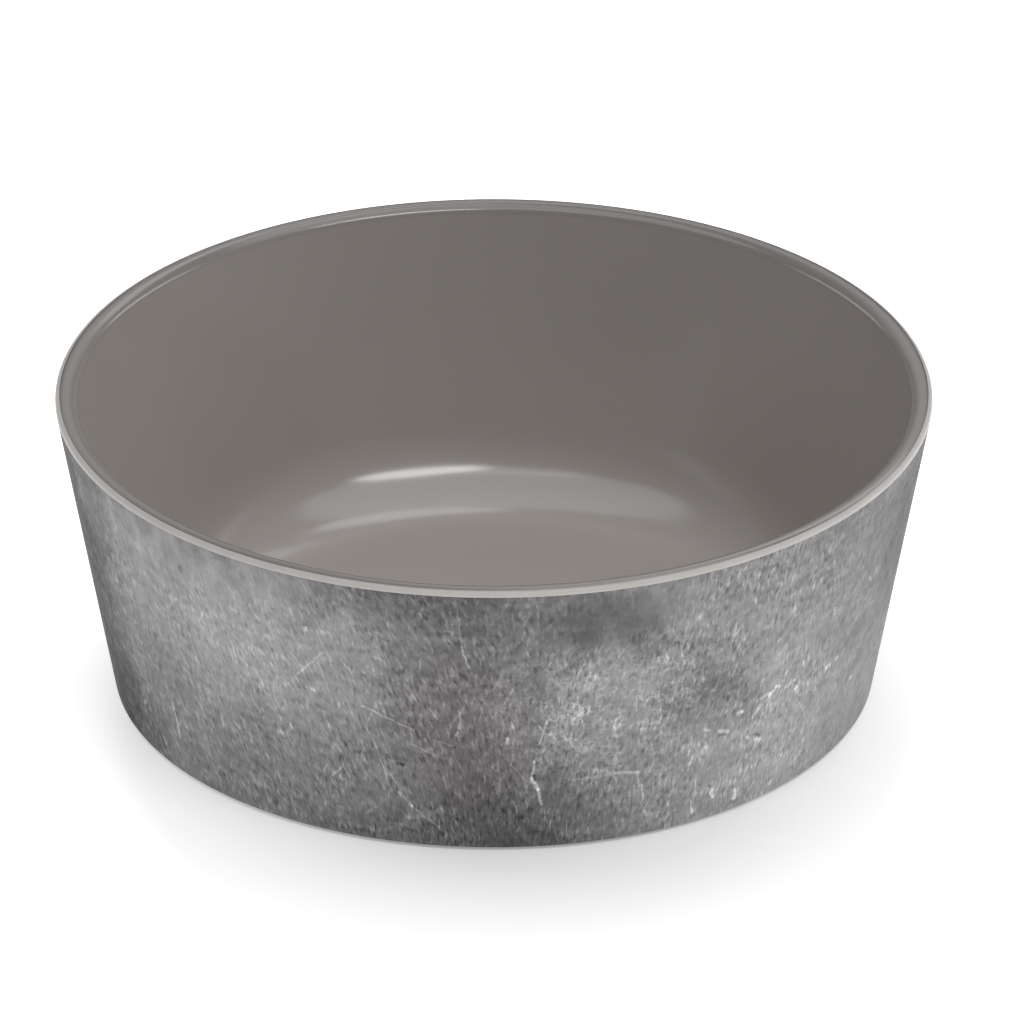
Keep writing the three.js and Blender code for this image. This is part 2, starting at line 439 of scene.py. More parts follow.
def make_soft_patch():
    """Soft round or oval shift of tone at one place of the chart."""
    takes = [("Chart", "vector"), ("Centre", "vector"), ("Reach", "vector"), ("Strength", "value")]
    tree, given, gives = new_group("soft_patch", takes, [("Chart", "vector")])
    offset = vector_calc(tree, "SUBTRACT", given["Chart"], given["Centre"])
    distance = flat_length(tree, vector_calc(tree, "DIVIDE", offset, given["Reach"]))
    share = remap(tree, distance, 0.0, 1.0, 1.0, 0.0)
    feed(tree, gives["Chart"], toned(tree, given["Chart"], share, given["Strength"]))
    return tree


def make_mark():
    """One stroke or nick of the print, from Start to End on the chart. Lengths in millimetres."""
    takes = [("Chart", "vector"), ("Start", "vector"), ("End", "vector"), ("Width", "value"),
             ("Strength", "value")]
    tree, given, gives = new_group("mark", takes, [("Chart", "vector")])
    offset = vector_calc(tree, "SUBTRACT", given["Chart"], given["Start"])
    run = vector_calc(tree, "SUBTRACT", given["End"], given["Start"])
    along = calc(tree, "DIVIDE", dot(tree, offset, run), dot(tree, run, run))
    held = calc(tree, "MINIMUM", calc(tree, "MAXIMUM", along, 0.0), 1.0)
    distance = flat_length(tree, vector_calc(tree, "SUBTRACT", offset, scaled(tree, run, held)))
    ratio = calc(tree, "DIVIDE", calc(tree, "MULTIPLY", distance, 2.0), given["Width"])
    line = remap(tree, ratio, MARK_CORE, MARK_FADE, 1.0, 0.0)
    feed(tree, gives["Chart"], toned(tree, given["Chart"], line, given["Strength"]))
    return tree


def make_moulded_skin():
    """Skin of a moulded piece: cloudy tone, uneven gloss and a faint ripple.

    Blotch and Ripple are sizes in millimetres, and Shade is how far the tone strays.
    """
    takes = [("Colour", "colour"), ("Shade", "value"), ("Blotch", "value"), ("Ripple", "value"),
             ("Roughness", "value"), ("Wear", "value")]
    gives_names = [("Colour", "colour"), ("Roughness", "value"), ("Height", "value")]
    tree, given, gives = new_group("moulded_skin", takes, gives_names)
    position = scaled(tree, place(tree, "TexCoord").outputs["Object"], PER_MM)
    cloud = noise(tree, position, calc(tree, "DIVIDE", 1.0, given["Blotch"]), detail=3.0, roughness=0.55)
    shade = calc(tree, "ADD", 1.0, swing(tree, cloud, given["Shade"]))
    feed(tree, gives["Colour"], scaled(tree, given["Colour"], shade))
    rub = noise(tree, position, RUB_PER_MM, detail=4.0, roughness=0.7)
    worn = calc(tree, "ADD", given["Roughness"], swing(tree, rub, given["Wear"]))
    feed(tree, gives["Roughness"], worn)
    ripple = noise(tree, position, calc(tree, "DIVIDE", 1.0, given["Ripple"]), detail=1.0, roughness=0.4)
    feed(tree, gives["Height"], ripple)
    return tree


WALL_CHART = make_wall_chart()
SCRATCHES = make_scratches()
SOFT_PATCH = make_soft_patch()
MARK = make_mark()
MOULDED_SKIN = make_moulded_skin()


# Print on the outer wall. Tones are display greys from 0 to 1, and sizes are in millimetres.

PRINT_TONE = 0.605
DARKEST_TONE = 0.05
DISPLAY_GAMMA = 2.2

# The patches are partly the print's own clouds and partly painted light and shade: the dark ones at the far
# left are painted shade on the side away from the lamps, and the light ones on the left middle and the
# right half are painted light.
PATCHES = (
    # place along from the front, place up, half width, half height, tone shift
    (-60, 52, 56, 36, 0.15),
    (-131, 45, 35, 85, -0.4),
    (-112, 6, 28, 28, -0.2),
    (-76, 77, 64, 15, -0.12),
    (-28, 74, 50, 18, -0.12),
    (-38, 0, 36, 24, -0.08),
    (-2, 66, 32, 26, -0.1),
    (2, 2, 40, 36, -0.19),
    (-8, 36, 28, 36, -0.1),
    (26, 64, 22, 13, -0.18),
    (24, 41, 20, 15, 0.05),
    (49, 36, 18, 18, -0.13),
    (72, 8, 46, 44, 0.1),
    (76, 33, 14, 12, 0.05),
    (129, 56, 40, 48, -0.22),
    (88, 70, 50, 22, -0.05),
    (52, 46, 52, 52, 0.04),
    (-128, 54, 17, 28, -0.25),
)

PATCH_DARKEST = -0.3  # tone shift that patches on top of each other don't go below
PATCH_EASE = 0.12
PATCH_DRIFT_SIZE = 14.0  # waves in the patches' outlines
PATCH_DRIFT = 24.0

MARKS = (
    # from and to on the chart, as places along and up, then width and tone shift
    ((-86.6, 20.0), (-86.0, 11.5), 0.8, 0.26),
    ((-7.6, 67.0), (-6.9, 57.0), 0.4, 0.14),
    ((-6.9, 57.0), (-5.5, 51.0), 0.5, 0.24),
    ((-30.0, 38.0), (-18.0, 32.8), 0.6, 0.18),
    ((-19.0, 29.0), (-13.0, 26.0), 0.6, 0.13),
    ((-13.0, 30.5), (-9.5, 29.2), 0.6, 0.13),
    ((-22.3, 15.0), (-19.5, 11.5), 0.9, 0.2),
    ((-19.5, 11.5), (-13.2, 6.2), 0.8, 0.17),
    ((-7.6, 39.0), (-7.4, 35.5), 0.6, 0.2),
    ((-7.4, 35.5), (-8.4, 32.4), 0.7, 0.22),
    ((-38.0, 51.0), (-45.0, 43.0), 0.6, 0.13),
    ((-46.0, 49.0), (-43.2, 45.0), 0.6, 0.13),
    ((-28.0, 10.0), (-31.0, 7.5), 0.9, 0.12),
    ((9.2, 25.0), (8.8, 20.0), 0.6, 0.22),
    ((8.8, 20.0), (10.2, 16.8), 1.1, 0.34),
    ((10.2, 16.8), (11.2, 12.8), 0.8, 0.3),
    ((11.8, 36.0), (10.3, 29.5), 0.6, 0.2),
    ((8.5, 37.0), (10.6, 33.8), 0.6, 0.15),
    ((18.0, 37.0), (16.6, 24.0), 0.5, 0.13),
    ((16.6, 24.0), (15.0, 17.0), 0.5, 0.12),
    ((27.4, 33.0), (28.0, 29.5), 0.9, 0.18),
    ((18.0, 19.0), (28.5, 19.2), 0.7, 0.09),
    ((28.5, 19.5), (34.5, 18.4), 0.9, 0.2),
    ((34.0, 19.0), (34.6, 14.5), 0.6, 0.16),
    ((35.3, 15.0), (36.0, 11.0), 0.6, 0.18),
    ((37.0, 43.0), (38.6, 33.0), 0.5, 0.13),
    ((47.3, 25.0), (47.0, 20.2), 0.6, 0.17),
    ((48.0, 20.0), (47.3, 15.8), 0.6, 0.17),
    ((55.5, 54.0), (55.2, 49.3), 0.7, 0.16),
    ((4.5, 28.0), (4.0, 24.0), 0.5, 0.14),
    ((4.0, 24.0), (7.6, 19.3), 0.5, 0.12),
    ((-61.5, 46.0), (-61.1, 41.0), 0.7, 0.16),
    ((-68.7, 24.3), (-68.4, 21.6), 0.9, 0.18),
    ((67.8, 28.6), (70.6, 31.4), 1.0, 0.22),
    ((64.3, 25.3), (66.2, 27.6), 1.1, 0.15),
    ((66.0, 29.6), (68.6, 30.2), 1.1, 0.18),
    ((70.2, 31.6), (71.8, 30.9), 1.1, 0.14),
    ((73.6, 29.8), (76.2, 30.6), 1.0, 0.13),
    ((72.8, 33.6), (74.6, 35.6), 0.9, 0.13),
    ((65.2, 33.4), (66.0, 35.0), 0.9, 0.12),
    ((3.0, 31.6), (3.1, 30.2), 0.9, 0.24),
    ((-41.4, 57.0), (-41.5, 56.2), 0.8, 0.26),
    ((-41.7, 40.2), (-41.3, 39.8), 1.0, 0.2),
    ((-36.5, 16.8), (-36.0, 16.4), 1.2, 0.24),
    ((-101.8, 13.3), (-101.0, 13.8), 1.4, 0.26),
    ((-94.3, 6.9), (-93.7, 6.1), 1.3, 0.22),
    ((59.6, 27.8), (60.4, 27.9), 1.4, 0.3),
    ((54.6, 24.6), (57.0, 23.8), 1.0, 0.22),
    ((50.6, 26.2), (51.4, 25.8), 1.1, 0.2),
    ((51.2, 22.4), (51.5, 20.6), 0.9, 0.26),
    ((63.2, 20.4), (64.0, 19.6), 1.0, 0.18),
    ((66.6, 18.6), (67.4, 17.9), 1.2, 0.24),
    ((54.8, 8.0), (55.3, 6.2), 1.1, 0.32),
    ((62.0, 6.0), (62.2, 3.6), 1.3, 0.32),
    ((49.4, 4.6), (49.8, 3.6), 1.0, 0.2),
    ((36.8, 7.0), (37.1, 6.0), 0.9, 0.22),
    ((88.6, 28.7), (89.8, 28.9), 1.5, 0.28),
    ((92.4, 29.2), (93.0, 29.4), 1.2, 0.18),
    ((77.6, 28.2), (78.4, 26.8), 1.2, 0.22),
    ((87.2, 45.3), (87.4, 43.7), 1.1, 0.2),
    ((102.3, 46.4), (103.1, 45.6), 1.2, 0.17),
    ((102.9, 19.4), (103.7, 19.0), 1.2, 0.18),
    ((9.2, 20.8), (9.4, 19.8), 0.9, -0.3),
    ((53.6, 9.9), (54.6, 9.3), 0.9, -0.2),
    ((55.2, 23.4), (56.6, 23.0), 0.9, -0.2),
    ((66.0, 19.7), (66.8, 19.2), 0.9, -0.18),
    ((75.4, 30.2), (76.4, 29.8), 1.2, -0.18),
    ((-22.2, 23.1), (-20.8, 23.0), 1.1, -0.22),
    ((-34.7, 27.2), (-34.4, 25.8), 0.9, -0.18),
    ((-74.3, 62.2), (-74.1, 60.9), 1.0, -0.17),
    ((20.2, 14.5), (19.9, 11.5), 0.7, -0.12),
)

MARK_DRIFT_SIZE = 2.0  # waves in the marks' lines
MARK_DRIFT = 1.0
MARK_BREAK_SIZE = 0.9  # gaps in the marks
MARK_BREAKS = (0.3, 0.6)  # noise levels where a mark is faint and where it is full
MARK_FAINT = 0.45
MARK_FULL = 1.1

MOTIF_HALF = 136.0  # along the wall to where the motif turns back, on either side

# Oval zones of the motif: places along and up, half width, half height
FLAKE_ZONE = (24, 36, 46, 34)
CLOUD_ZONE = (27, 63, 30, 16)
CALM_ZONE = (-82, 76, 74, 33)
WARM_ZONE = (-6, 30, 26, 44)
CALMED_ZONES = ((CLOUD_ZONE, 0.8), (CALM_ZONE, 0.9))  # with the share of fine detail that they lose

# Fine detail also fades towards the right, between two places along
FADE_START = 75.0
FADE_END = 108.0
FADE_LEFT_OVER = 0.45

# Fine detail comes in thinner and denser clumps
CLUMP_SIZE = 12.0
CLUMP_LEVELS = (0.35, 0.65)  # noise levels of the thinnest and the densest
CLUMP_THIN = 0.6
CLUMP_DENSE = 1.15

# Upright hairs, light and dark, and a mottling between them
HAIR_WIDTH = 0.8
LIGHT_HAIR = 2.4
DARK_HAIR = 2.2
HAIR_LEVELS = (0.5, 0.74)  # noise levels where a hair starts and where it is full
HAIR_TONE = 0.13
DARK_HAIR_SHIFT = (37.0, 91.0, 0.0)  # dark hairs lie elsewhere than light ones
MOTTLE_WIDTH = 2.0
MOTTLE_HEIGHT = 2.6
MOTTLE_TONE = 0.3

# Slant of the hairs and scratches, between two places along, about a height on the wall
SLANT_START = -30.0
SLANT_END = 25.0
LEFT_SLANT = 0.24
RIGHT_SLANT = -0.06
SLANT_HEIGHT = 36.0

# Flakes
FLAKE_SIZE = 1.9
FLAKE_DRIFT_SIZE = 1.3
FLAKE_DRIFT = 2.6
FLAKE_EDGE = (0.02, 0.25)  # in flake sizes from its edge: where the outline is full and where it ends
FLAKE_TONE = 0.17
FLAKE_GROUP_SIZE = 5.0
FLAKE_GROUPS = (0.4, 0.6)  # noise levels where a group starts and where it is full

# Clouds, small ones among broad ones, and soft streaks
BROAD_CLOUD = 22.0
BROAD_TONE = 0.1
SMALL_CLOUD = 6.0
SMALL_TONE = 0.26
STREAK_WIDTH = 3.2
STREAK_HEIGHT = 13.0
STREAK_TONE = 0.24

# Tints, in slow drifts of the given size
TINT_SIZE = 30.0
ROSE_TINT = (1.03, 0.985, 0.985, 1)
COOL_TINT = (0.98, 1.0, 1.015, 1)
WARM_TINT = (1.05, 0.98, 0.99, 1)

PRINT_ROUGHNESS = 0.55
PRINT_SHEEN = -0.25  # change of roughness from dark to light
PRINT_SPECULAR = 0.15

STROKES = (
    # cell, length, width, lean, spread, share, seed, strength
    (3.4, 3.0, 0.45, 0.0, 0.9, 0.3, 17.3, 0.14),
    (6.5, 5.5, 0.45, 0.05, 1.2, 0.18, 29.6, 0.16),
    (16.0, 13.0, 0.45, 0.1, 1.8, 0.12, 41.2, 0.16),
)


def stretched(tree, chart, across, upright):
    """Chart in units of a grain that is so many millimetres wide and tall."""
    return vector_calc(tree, "MULTIPLY", chart, (1 / across, 1 / upright, 1))


def wandering(tree, chart, size, amount):
    """Chart whose places stray in the plane, by a noise of the given size in millimetres."""
    drift = place(tree, "TexNoise", {"Vector": chart, "Scale": 1 / size, "Detail": 2.0}).outputs["Color"]
    shift = vector_calc(tree, "SUBTRACT", drift, (0.5, 0.5, 0.5))
    return vector_calc(tree, "ADD", chart, vector_calc(tree, "MULTIPLY", shift, (amount, amount, 0.0)))


def mirrored(tree, chart):
    """Chart that goes on around the back as a mirror image of the front."""
    split = place(tree, "SeparateXYZ", {0: chart}).outputs
    folded = calc(tree, "PINGPONG", calc(tree, "ADD", split["X"], MOTIF_HALF), 2 * MOTIF_HALF)
    along = calc(tree, "SUBTRACT", folded, MOTIF_HALF)
    return place(tree, "CombineXYZ", {"X": along, "Y": split["Y"]}).outputs[0]


def zone(tree, motif, along, up, half_width, half_height):
    """1 at the middle of an oval zone of the motif, falling to 0 at its edge."""
    patch = use(tree, SOFT_PATCH, Chart=motif, Centre=(along, up, 0), Reach=(half_width, half_height, 1),
                Strength=1.0)
    return place(tree, "SeparateXYZ", {0: patch["Chart"]}).outputs["Z"]


def hairs(tree, chart, length, tone):
    """Dense upright hairs of one length that shift the tone."""
    level = noise(tree, stretched(tree, chart, HAIR_WIDTH, length), 1.0, detail=1.0, roughness=0.4)
    return remap(tree, level, *HAIR_LEVELS, 0.0, tone)


def print_grain(tree, chart):
    """Light and dark hairs and a fine mottling."""
    light = hairs(tree, chart, LIGHT_HAIR, HAIR_TONE)
    dark = hairs(tree, vector_calc(tree, "ADD", chart, DARK_HAIR_SHIFT), DARK_HAIR, -HAIR_TONE)
    spots = noise(tree, stretched(tree, chart, MOTTLE_WIDTH, MOTTLE_HEIGHT), 1.0, detail=2.0, roughness=0.6)
    return total(tree, [light, dark, swing(tree, spots, MOTTLE_TONE)])


def print_flakes(tree, chart, motif):
    """Light ragged outlines of small flakes."""
    ragged = wandering(tree, chart, FLAKE_DRIFT_SIZE, FLAKE_DRIFT)
    cells = place(tree, "TexVoronoi", {"Vector": ragged, "Scale": 1 / FLAKE_SIZE},
                  feature="DISTANCE_TO_EDGE", voronoi_dimensions="2D")
    outline = remap(tree, cells.outputs["Distance"], *FLAKE_EDGE, FLAKE_TONE, 0.0)
    groups = remap(tree, noise(tree, chart, 1 / FLAKE_GROUP_SIZE), *FLAKE_GROUPS)
    flaked = calc(tree, "MULTIPLY", outline, groups)
    return calc(tree, "MULTIPLY", flaked, zone(tree, motif, *FLAKE_ZONE))


def print_strokes(tree, chart):
    """Scattered light scratches of several lengths."""
    strokes = 0.0
    for cell, length, width, lean, spread, share, seed, strength in STROKES:
        layer = use(tree, SCRATCHES, Chart=chart, Cell=cell, Length=length, Width=width, Lean=lean,
                    Spread=spread, Share=share, Seed=seed)
        strokes = calc(tree, "MAXIMUM", strokes, calc(tree, "MULTIPLY", layer["Mask"], strength))
    return strokes


def print_marks(tree, chart, motif):
    """Strokes, nicks and dark spots at the listed places, ragged and uneven in strength."""
    marked = wandering(tree, motif, MARK_DRIFT_SIZE, MARK_DRIFT)
    for start, end, width, strength in MARKS:
        marked = use(tree, MARK, Chart=marked, Start=(*start, 0), End=(*end, 0), Width=width,
                     Strength=strength)["Chart"]
    shift = place(tree, "SeparateXYZ", {0: marked}).outputs["Z"]
    breaks = noise(tree, chart, 1 / MARK_BREAK_SIZE)
    uneven = remap(tree, breaks, *MARK_BREAKS, MARK_FAINT, MARK_FULL)
    return calc(tree, "MULTIPLY", shift, uneven)


def print_clouds_and_painted_shading(tree, chart, motif):
    """Slow changes of tone: clouds, and the listed patches, which hold painted light and shade besides the
    print's own tone.
    """
    patched = wandering(tree, motif, PATCH_DRIFT_SIZE, PATCH_DRIFT)
    for along, up, half_width, half_height, strength in PATCHES:
        patched = use(tree, SOFT_PATCH, Chart=patched, Centre=(along, up, 0),
                      Reach=(half_width, half_height, 1), Strength=strength)["Chart"]
    shift = place(tree, "SeparateXYZ", {0: patched}).outputs["Z"]
    patches = calc(tree, "SMOOTH_MAX", shift, PATCH_DARKEST, PATCH_EASE)
    broad = swing(tree, noise(tree, chart, 1 / BROAD_CLOUD, detail=3.0), BROAD_TONE)
    small = swing(tree, noise(tree, chart, 1 / SMALL_CLOUD, detail=4.0, roughness=0.6), SMALL_TONE)
    streaks = noise(tree, stretched(tree, chart, STREAK_WIDTH, STREAK_HEIGHT), 1.0, detail=1.0)
    streaked = calc(tree, "MULTIPLY", swing(tree, streaks, STREAK_TONE), zone(tree, motif, *CALM_ZONE))
    return total(tree, [patches, broad, small, streaked])


def slanted(tree, chart, along, up):
    """Chart whose uprights lean, more so away from a height on the wall."""
    slope = remap(tree, along, SLANT_START, SLANT_END, LEFT_SLANT, RIGHT_SLANT)
    slant = calc(tree, "MULTIPLY", slope, calc(tree, "SUBTRACT", up, SLANT_HEIGHT))
    return vector_calc(tree, "ADD", chart, place(tree, "CombineXYZ", {"X": slant}).outputs[0])


def detail_strength(tree, chart, motif, along):
    """How strongly the fine detail shows: less in the calm zones and to the right, and in clumps."""
    strength = remap(tree, along, FADE_START, FADE_END, 1.0, FADE_LEFT_OVER)
    for spot, share in CALMED_ZONES:
        lost = calc(tree, "MULTIPLY", zone(tree, motif, *spot), share)
        strength = calc(tree, "MULTIPLY", strength, calc(tree, "SUBTRACT", 1.0, lost))
    clumps = remap(tree, noise(tree, chart, 1 / CLUMP_SIZE), *CLUMP_LEVELS, CLUMP_THIN, CLUMP_DENSE)
    return calc(tree, "MULTIPLY", strength, clumps)


def pewter_print():
    material, tree, shader = new_material("pewter_print")
    chart = use(tree, WALL_CHART)["Chart"]
    motif = mirrored(tree, chart)
    split = place(tree, "SeparateXYZ", {0: motif}).outputs
    leaning = slanted(tree, chart, split["X"], split["Y"])
    fine = total(tree, [print_grain(tree, leaning), print_flakes(tree, chart, motif),
                        print_strokes(tree, leaning)])
    detail = calc(tree, "MULTIPLY", fine, detail_strength(tree, chart, motif, split["X"]))
    tone = total(tree, [PRINT_TONE, print_clouds_and_painted_shading(tree, chart, motif), print_marks(tree, chart, motif),
                        detail])
    grey = calc(tree, "POWER", calc(tree, "MAXIMUM", tone, DARKEST_TONE), DISPLAY_GAMMA)
    tint = blend(tree, noise(tree, chart, 1 / TINT_SIZE), ROSE_TINT, COOL_TINT)
    tint = blend(tree, zone(tree, motif, *WARM_ZONE), tint, WARM_TINT)
    feed(tree, shader["Base Color"], scaled(tree, tint, grey))
    feed(tree, shader["Roughness"], calc(tree, "ADD", PRINT_ROUGHNESS, swing(tree, tone, PRINT_SHEEN)))
    shader["Specular IOR Level"].default_value = PRINT_SPECULAR
    add_bump(tree, shader, detail, strength=0.15, distance=0.1 * MM)
    return material


def painted_shade_near_rim(tree, drop, shade):
    """Factor for painted shade: goes from 1 down to a darker level over the upper drop of a piece."""
    height = place(tree, "SeparateXYZ", {0: place(tree, "TexCoord").outputs["Object"]}).outputs["Z"]
    return remap(tree, height, RIM_Z - drop, RIM_Z, 1.0, shade)


def taupe_gloss():
    material, tree, shader = new_material("taupe_gloss")
    skin = use(tree, MOULDED_SKIN, Colour=TAUPE, Shade=0.05, Blotch=30.0, Ripple=6.0,
               Roughness=0.16, Wear=0.015)
    # painted shade: the rim's colour is darkened over its upper part
    rim = painted_shade_near_rim(tree, RIM_PAINTED_SHADE_DROP, RIM_PAINTED_SHADE)
    feed(tree, shader["Base Color"], scaled(tree, skin["Colour"], rim))
    feed(tree, shader["Roughness"], skin["Roughness"])
    shader["IOR"].default_value = MELAMINE_IOR
    add_bump(tree, shader, skin["Height"], strength=0.05, distance=0.1 * MM)
    return material


def pale_moulding():
    material, tree, shader = new_material("pale_moulding")
    skin = use(tree, MOULDED_SKIN, Colour=PALE_GREY, Shade=0.16, Blotch=7.0, Ripple=1.5,
               Roughness=0.42, Wear=0.12)
    # painted shade: the bare edge's colour is darkened over its upper part
    edge = painted_shade_near_rim(tree, EDGE_PAINTED_SHADE_DROP, EDGE_PAINTED_SHADE)
    feed(tree, shader["Base Color"], scaled(tree, skin["Colour"], edge))
    feed(tree, shader["Roughness"], skin["Roughness"])
    add_bump(tree, shader, skin["Height"], strength=0.1, distance=0.05 * MM)
    return material


def dark_silicone():
    material, tree, shader = new_material("dark_silicone")
    skin = use(tree, MOULDED_SKIN, Colour=SILICONE_GREY, Shade=0.35, Blotch=4.0, Ripple=0.4,
               Roughness=0.72, Wear=0.2)
    feed(tree, shader["Base Color"], skin["Colour"])
    feed(tree, shader["Roughness"], skin["Roughness"])
    add_bump(tree, shader, skin["Height"], strength=0.25, distance=0.05 * MM)
    return material


# Pieces

def liner_piece():
    """Glossy inner moulding: floor, wall and the inner part of the rim."""
    joint = SHELL_DEPTH + HAIRLINE
    crown = in_bowl(RIM_Z - RIM_CROWN_ROUND, -RIM_CROWN_ROUND)
    crown_start = math.acos((on_wall(RIM_Z, joint).x - crown.x) / RIM_CROWN_ROUND)
    outline = [Vector((0, LINER_UNDER_Z))]
    outline += floor_fillet(LINER_UNDER_Z, -LINER_WALL, FLOOR_FILLET)
    outline.append(on_wall(RIM_Z - JOINT_HEIGHT, joint))
    outline += arc(crown, RIM_CROWN_ROUND, crown_start, math.pi - INNER_LEAN, FILLET_STEPS)
    outline += reversed(floor_fillet(LINER_FLOOR_Z, 0, FLOOR_FILLET))
    outline.append(Vector((0, LINER_FLOOR_Z)))
    return revolve("bowl_liner", outline)


def shell_piece():
    """Pale outer moulding: bare rim edge, wall behind the print, foot with its groove, and floor."""
    groove_outer = RING_OUTER + GROOVE_CLEARANCE
    groove_inner = RING_OUTER - RING_WIDTH - GROOVE_CLEARANCE
    groove_z = RING_TOP + GROOVE_CLEARANCE
    recess_radius = groove_inner - INNER_LAND
    recess_z = FOOT_Z + RECESS_DEPTH
    foil_depth = FOIL_THICKNESS + HAIRLINE
    step_z = FOIL_TOP_Z + HAIRLINE
    inner_floor_z = LINER_UNDER_Z - HAIRLINE
    outline = [Vector((0, recess_z))]
    outline += arc(Vector((recess_radius - 2 * RECESS_ROUND, recess_z - RECESS_ROUND)), RECESS_ROUND,
                   math.pi / 2, 0, ROUND_STEPS)
    outline += arc(Vector((recess_radius + RECESS_ROUND, FOOT_Z + RECESS_ROUND / 2)), RECESS_ROUND / 2,
                   math.pi, 1.5 * math.pi, ROUND_STEPS)
    for radius, side in ((groove_inner, -1), (groove_outer, 1)):
        lip = Vector((radius + side * JOINT_ROUND, FOOT_Z + JOINT_ROUND))
        start, end = (-math.pi / 2, 0) if side < 0 else (math.pi, 1.5 * math.pi)
        rounded_lip = arc(lip, JOINT_ROUND, start, end, ROUND_STEPS)
        roof = Vector((radius, groove_z))
        outline += rounded_lip + [roof] if side < 0 else [roof] + rounded_lip
    outline.append(Vector((base_corner(0)[0].x, FOOT_Z)))
    outline += base_corner(foil_depth)
    outline += [on_wall(step_z, foil_depth), on_wall(step_z, 0)]
    outline += edge_corner(RIM_OUTER_ROUND, RIM_OUTER_ROUND, -LEAN, math.pi / 2)
    outline += edge_corner(SHELL_DEPTH - JOINT_ROUND, JOINT_ROUND, math.pi / 2, math.pi - LEAN)
    inner_corner = on_wall(inner_floor_z + SHELL_FILLET, SHELL_DEPTH + SHELL_FILLET)
    outline += reversed(arc(inner_corner, SHELL_FILLET, -math.pi / 2, -LEAN, FILLET_STEPS))
    outline.append(Vector((0, inner_floor_z)))
    return revolve("bowl_shell", outline)


def foil_piece():
    """Printed foil: a thin band that wraps the wall and turns in under the base's edge."""
    edge = on_wall(FOIL_TOP_Z - FOIL_EDGE_ROUND, FOIL_EDGE_ROUND)
    outline = base_corner(0)
    outline += arc(edge, FOIL_EDGE_ROUND, -LEAN, math.pi / 2, ROUND_STEPS)
    outline.append(on_wall(FOIL_TOP_Z, FOIL_THICKNESS))
    outline += reversed(base_corner(FOIL_THICKNESS))
    return revolve("printed_foil", outline, SEAM_GAP)


def ring_piece():
    """Soft ring in the groove, standing a little below the foot."""
    inner = RING_OUTER - RING_WIDTH
    outline = []
    corners = (
        (Vector((inner + RING_ROUND, ring_low.z + RING_ROUND)), math.pi),
        (Vector((RING_OUTER - RING_ROUND, ring_low.z + RING_ROUND)), 1.5 * math.pi),
        (Vector((RING_OUTER - RING_ROUND, RING_TOP - RING_ROUND)), 0.0),
        (Vector((inner + RING_ROUND, RING_TOP - RING_ROUND)), 0.5 * math.pi),
    )
    for centre, start in corners:
        outline += arc(centre, RING_ROUND, start, start + math.pi / 2, ROUND_STEPS)
    return revolve("grip_ring", outline)


def dress(piece, material, body, node):
    """Gives a piece its material and its body, and hides the node that it stands for."""
    piece.data.materials.append(material)
    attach(piece, body)
    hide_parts(node)


dress(liner_piece(), taupe_gloss(), "bowl", "inner_liner")
dress(shell_piece(), pale_moulding(), "bowl", "outer_shell")
dress(foil_piece(), pewter_print(), "bowl", "pewter_foil")
dress(ring_piece(), dark_silicone(), "foot_ring", "non_slip_ring")


# Stage, light and camera

def seen_directly(tree):
    """1 for rays that show the background: from the camera, off gloss or through glass."""
    path = place(tree, "LightPath").outputs
    shown = calc(tree, "MAXIMUM", path["Is Camera Ray"], path["Is Glossy Ray"])
    return calc(tree, "MAXIMUM", shown, path["Is Transmission Ray"])


def studio_floor():
    """Pale floor that keeps the shadow, turns white further out and can be seen through from below."""
    material = bpy.data.materials.new("studio_floor")
    material.use_nodes = True
    tree = material.node_tree
    tree.nodes.clear()
    position = place(tree, "TexCoord").outputs["Object"]
    beside = vector_calc(tree, "MULTIPLY", vector_calc(tree, "SUBTRACT", position, SIDE_LIFT_CENTRE),
                         SIDE_LIFT_SHAPE)
    side_lift = remap(tree, flat_length(tree, beside), SIDE_LIFT_START, SIDE_LIFT_FULL, 0.0, SIDE_LIFT)
    offset = vector_calc(tree, "SUBTRACT", position, LIFT_CENTRE)
    distance = place(tree, "VectorMath", {0: offset}, operation="LENGTH").outputs["Value"]
    base_lift = place(tree, "MapRange", {"Value": distance, "From Min": LIFT_NEAR, "From Max": LIFT_FAR,
                                         "To Min": FLOOR_LIFT, "To Max": 1.0}).outputs["Result"]
    lift = calc(tree, "ADD", base_lift, side_lift)
    seen = seen_directly(tree)
    white = place(tree, "MapRange", {"Value": seen, "To Min": FLOOR_WHITE, "To Max": FLOOR_SEEN})
    paint = place(tree, "BsdfDiffuse", {"Color": white.outputs["Result"]})
    glow = place(tree, "Emission", {"Strength": calc(tree, "MULTIPLY", lift, seen)})
    front = place(tree, "AddShader", {0: paint.outputs[0], 1: glow.outputs[0]})
    clear = place(tree, "BsdfTransparent")
    side = place(tree, "NewGeometry").outputs["Backfacing"]
    mix = place(tree, "MixShader", {0: side, 1: front.outputs[0], 2: clear.outputs[0]})
    end = place(tree, "OutputMaterial", {"Surface": mix.outputs[0]})
    end.is_active_output = True
    return material


def floor_piece():
    shape = bmesh.new()
    rings = []
    for radius in (FLOOR_HOLE, FLOOR_RADIUS):
        ring = bmesh.ops.create_circle(shape, radius=radius, segments=TURN_STEPS)["verts"]
        rings += [e for v in ring for e in v.link_edges]
    bmesh.ops.bridge_loops(shape, edges=list(set(rings)))
    bmesh.ops.recalc_face_normals(shape, faces=shape.faces)
    if shape.faces[:][0].normal.z < 0:
        bmesh.ops.reverse_faces(shape, faces=shape.faces)
    mesh = bpy.data.meshes.new("floor")
    shape.to_mesh(mesh)
    shape.free()
    mesh.materials.append(studio_floor())
    floor = bpy.data.objects.new("floor", mesh)
    bpy.context.scene.collection.objects.link(floor)
    return floor


